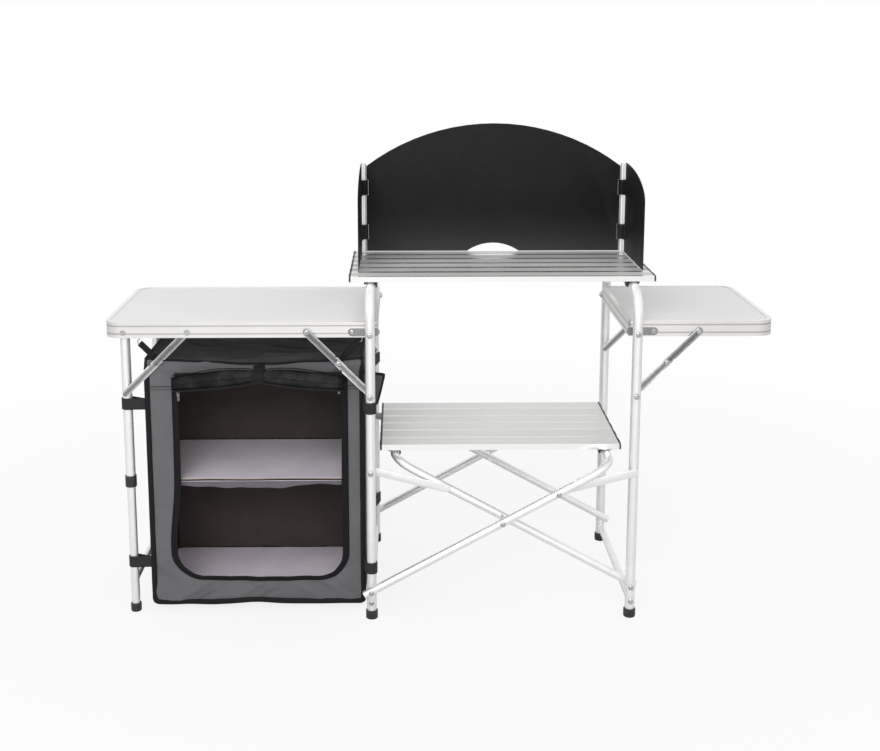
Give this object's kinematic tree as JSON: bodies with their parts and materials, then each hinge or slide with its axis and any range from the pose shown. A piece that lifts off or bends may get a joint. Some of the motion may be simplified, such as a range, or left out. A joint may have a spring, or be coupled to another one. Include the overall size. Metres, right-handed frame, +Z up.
{
  "type": "folding camping kitchen",
  "caption": "Folding camping kitchen: slatted work deck with windshield, lower deck on a scissor frame, side tables on stays and a hanging fabric cupboard.",
  "frame": {"origin": "on the ground, under the middle of the overall width and depth", "axes": "+X along the width towards the short side table, +Y to the back, +Z up"},
  "size_m": [1.479, 0.518, 1.092],
  "materials": {
    "tube_aluminium": "satin silver tube and extrusion",
    "slat_aluminium": "brushed along the slats",
    "stay_steel": "zinc plated strip",
    "table_top": "near white laminate",
    "windshield_board": "charcoal board, low gloss",
    "cupboard_cloth": "grey woven cloth with black trim",
    "shelf_cloth": "lilac grey coated cloth over a board",
    "door_mesh": "black net, rolled",
    "black_plastic": "black moulded plastic"
  },
  "bodies": {
    "left_frame": {"left_frame_tube": "tube_aluminium", "left_crossbar": "tube_aluminium", "left_front_foot": "black_plastic", "left_rear_foot": "black_plastic", "left_front_deck_saddle": "black_plastic", "left_rear_deck_saddle": "black_plastic", "cupboard_shell": "cupboard_cloth", "cupboard_upper_shelf": "shelf_cloth", "cupboard_base_board": "shelf_cloth", "cupboard_rolled_door": "door_mesh"},
    "right_frame": {"right_frame_tube": "tube_aluminium", "right_crossbar": "tube_aluminium", "right_front_foot": "black_plastic", "right_rear_foot": "black_plastic", "right_front_deck_saddle": "black_plastic", "right_rear_deck_saddle": "black_plastic"},
    "scissor_outer": {"scissor_outer_tube": "tube_aluminium"},
    "scissor_inner": {"scissor_inner_tube": "tube_aluminium"},
    "left_links": {"left_front_link": "tube_aluminium", "left_rear_link": "tube_aluminium"},
    "right_links": {"right_front_link": "tube_aluminium", "right_rear_link": "tube_aluminium"},
    "left_shelf_saddles": {"left_front_shelf_saddle": "black_plastic", "left_rear_shelf_saddle": "black_plastic"},
    "right_shelf_saddles": {"right_front_shelf_saddle": "black_plastic", "right_rear_shelf_saddle": "black_plastic"},
    "lower_deck": {"lower_deck_slats": "slat_aluminium", "lower_deck_left_strip": "black_plastic", "lower_deck_right_strip": "black_plastic"},
    "top_deck": {"top_deck_slats": "slat_aluminium", "top_deck_left_strip": "black_plastic", "top_deck_right_strip": "black_plastic"},
    "windshield": {"windshield_panel": "windshield_board", "windshield_left_post": "tube_aluminium", "windshield_right_post": "tube_aluminium"},
    "left_wing_panel": {"windshield_left_wing": "windshield_board"},
    "right_wing_panel": {"windshield_right_wing": "windshield_board"},
    "left_table": {"left_table_panel": "table_top", "left_table_rim": "tube_aluminium"},
    "right_table": {"right_table_panel": "table_top", "right_table_rim": "tube_aluminium"},
    "left_inner_stays_upper": {"left_inner_front_stay_upper": "stay_steel", "left_inner_rear_stay_upper": "stay_steel"},
    "left_inner_stays_lower": {"left_inner_front_stay_lower": "stay_steel", "left_inner_rear_stay_lower": "stay_steel"},
    "left_outer_stays_upper": {"left_outer_front_stay_upper": "stay_steel", "left_outer_rear_stay_upper": "stay_steel"},
    "left_outer_stays_lower": {"left_outer_front_stay_lower": "stay_steel", "left_outer_rear_stay_lower": "stay_steel"},
    "right_stays_upper": {"right_front_stay_upper": "stay_steel", "right_rear_stay_upper": "stay_steel"},
    "right_stays_lower": {"right_front_stay_lower": "stay_steel", "right_rear_stay_lower": "stay_steel"},
    "outer_legs_upper": {"outer_front_leg_upper": "tube_aluminium", "outer_rear_leg_upper": "tube_aluminium", "outer_front_leg_collar": "black_plastic", "outer_rear_leg_collar": "black_plastic"},
    "outer_legs_lower": {"outer_leg_lower_frame": "tube_aluminium", "outer_front_foot": "black_plastic", "outer_rear_foot": "black_plastic"}
  },
  "joints": [
    {"name": "frame_fold", "type": "hinge", "parent": "left_frame", "child": "scissor_outer", "pos_m": [-0.1545, 0, 0.073], "axis": [0, 1, 0], "range_deg": [-34, 0]},
    {"name": "scissor_crossing", "type": "hinge", "parent": "scissor_outer", "child": "scissor_inner", "pos_m": [0.1385, 0, 0.234], "axis": [0, 1, 0], "range_deg": [0, 68]},
    {"name": "right_frame_pivot", "type": "hinge", "parent": "scissor_inner", "child": "right_frame", "pos_m": [0.4315, 0, 0.073], "axis": [0, 1, 0], "range_deg": [-34, 0]},
    {"name": "left_saddle_turn", "type": "hinge", "parent": "scissor_inner", "child": "left_shelf_saddles", "pos_m": [-0.10245, 0, 0.3664], "axis": [0, 1, 0], "range_deg": [-34, 0]},
    {"name": "right_saddle_turn", "type": "hinge", "parent": "scissor_outer", "child": "right_shelf_saddles", "pos_m": [0.37945, 0, 0.3664], "axis": [0, 1, 0], "range_deg": [0, 34]},
    {"name": "left_link_turn", "type": "hinge", "parent": "left_frame", "child": "left_links", "pos_m": [-0.1545, 0, 0.345], "axis": [0, 1, 0], "range_deg": [-73.89, 0]},
    {"name": "right_link_turn", "type": "hinge", "parent": "right_frame", "child": "right_links", "pos_m": [0.4315, 0, 0.345], "axis": [0, 1, 0], "range_deg": [0, 73.89]},
    {"name": "lower_deck_lift", "type": "slide", "parent": "left_shelf_saddles", "child": "lower_deck", "axis": [0, 0, 1], "range_m": [0, 0.1]},
    {"name": "top_deck_lift", "type": "slide", "parent": "left_frame", "child": "top_deck", "axis": [0, 0, 1], "range_m": [0, 0.1]},
    {"name": "windshield_lift", "type": "slide", "parent": "top_deck", "child": "windshield", "axis": [0, 0, 1], "range_m": [0, 0.06]},
    {"name": "left_wing_swing", "type": "hinge", "parent": "windshield", "child": "left_wing_panel", "pos_m": [-0.177, 0.157, 0.9], "axis": [0, 0, 1], "range_deg": [-60, 85]},
    {"name": "right_wing_swing", "type": "hinge", "parent": "windshield", "child": "right_wing_panel", "pos_m": [0.454, 0.157, 0.9], "axis": [0, 0, -1], "range_deg": [-60, 85]},
    {"name": "right_table_fold", "type": "hinge", "parent": "right_frame", "child": "right_table", "pos_m": [0.4315, 0, 0.66], "axis": [0, 1, 0], "range_deg": [0, 90]},
    {"name": "right_stay_upper_turn", "type": "hinge", "parent": "right_table", "child": "right_stays_upper", "pos_m": [0.5715, 0, 0.66], "axis": [0, 1, 0], "range_deg": [0, 45]},
    {"name": "right_stay_lower_turn", "type": "hinge", "parent": "right_frame", "child": "right_stays_lower", "pos_m": [0.4315, 0, 0.52], "axis": [0, 1, 0], "range_deg": [-45, 0]},
    {"name": "left_table_fold", "type": "hinge", "parent": "left_frame", "child": "left_table", "pos_m": [-0.1545, 0, 0.66], "axis": [0, -1, 0], "range_deg": [0, 30], "deforming": ["cupboard_shell", "cupboard_upper_shelf", "cupboard_base_board", "cupboard_rolled_door"]},
    {"name": "left_inner_stay_upper_turn", "type": "hinge", "parent": "left_table", "child": "left_inner_stays_upper", "pos_m": [-0.2945, 0, 0.66], "axis": [0, -1, 0], "range_deg": [0, 30]},
    {"name": "left_inner_stay_lower_turn", "type": "hinge", "parent": "left_frame", "child": "left_inner_stays_lower", "pos_m": [-0.1545, 0, 0.52], "axis": [0, -1, 0], "range_deg": [-30, 0]},
    {"name": "outer_leg_fold", "type": "hinge", "parent": "left_table", "child": "outer_legs_upper", "pos_m": [-0.6975, 0, 0.66], "axis": [0, -1, 0], "range_deg": [0, 90]},
    {"name": "left_outer_stay_upper_turn", "type": "hinge", "parent": "left_table", "child": "left_outer_stays_upper", "pos_m": [-0.5575, 0, 0.66], "axis": [0, -1, 0], "range_deg": [-45, 0]},
    {"name": "left_outer_stay_lower_turn", "type": "hinge", "parent": "outer_legs_upper", "child": "left_outer_stays_lower", "pos_m": [-0.6975, 0, 0.52], "axis": [0, -1, 0], "range_deg": [0, 45]},
    {"name": "outer_leg_slide", "type": "slide", "parent": "outer_legs_upper", "child": "outer_legs_lower", "axis": [0, 0, 1], "range_m": [0, 0.2]}
  ],
  "couplings": [
    {"joint": "scissor_crossing", "follows": "frame_fold", "ratio": -2},
    {"joint": "right_frame_pivot", "follows": "frame_fold", "ratio": 1},
    {"joint": "left_saddle_turn", "follows": "frame_fold", "ratio": 1},
    {"joint": "right_saddle_turn", "follows": "frame_fold", "ratio": -1},
    {"joint": "left_link_turn", "follows": "frame_fold", "ratio": 2.1729},
    {"joint": "right_link_turn", "follows": "frame_fold", "ratio": -2.1729},
    {"joint": "right_stay_upper_turn", "follows": "right_table_fold", "ratio": 0.5},
    {"joint": "right_stay_lower_turn", "follows": "right_table_fold", "ratio": -0.5},
    {"joint": "left_inner_stay_upper_turn", "follows": "left_table_fold", "ratio": 1},
    {"joint": "left_inner_stay_lower_turn", "follows": "left_table_fold", "ratio": -1},
    {"joint": "outer_leg_fold", "follows": "left_table_fold", "ratio": 3},
    {"joint": "left_outer_stay_upper_turn", "follows": "left_table_fold", "ratio": -1.5},
    {"joint": "left_outer_stay_lower_turn", "follows": "left_table_fold", "ratio": 1.5},
    {"joint": "outer_leg_slide", "follows": "left_table_fold", "m_per_rad": 0.38187}
  ]
}
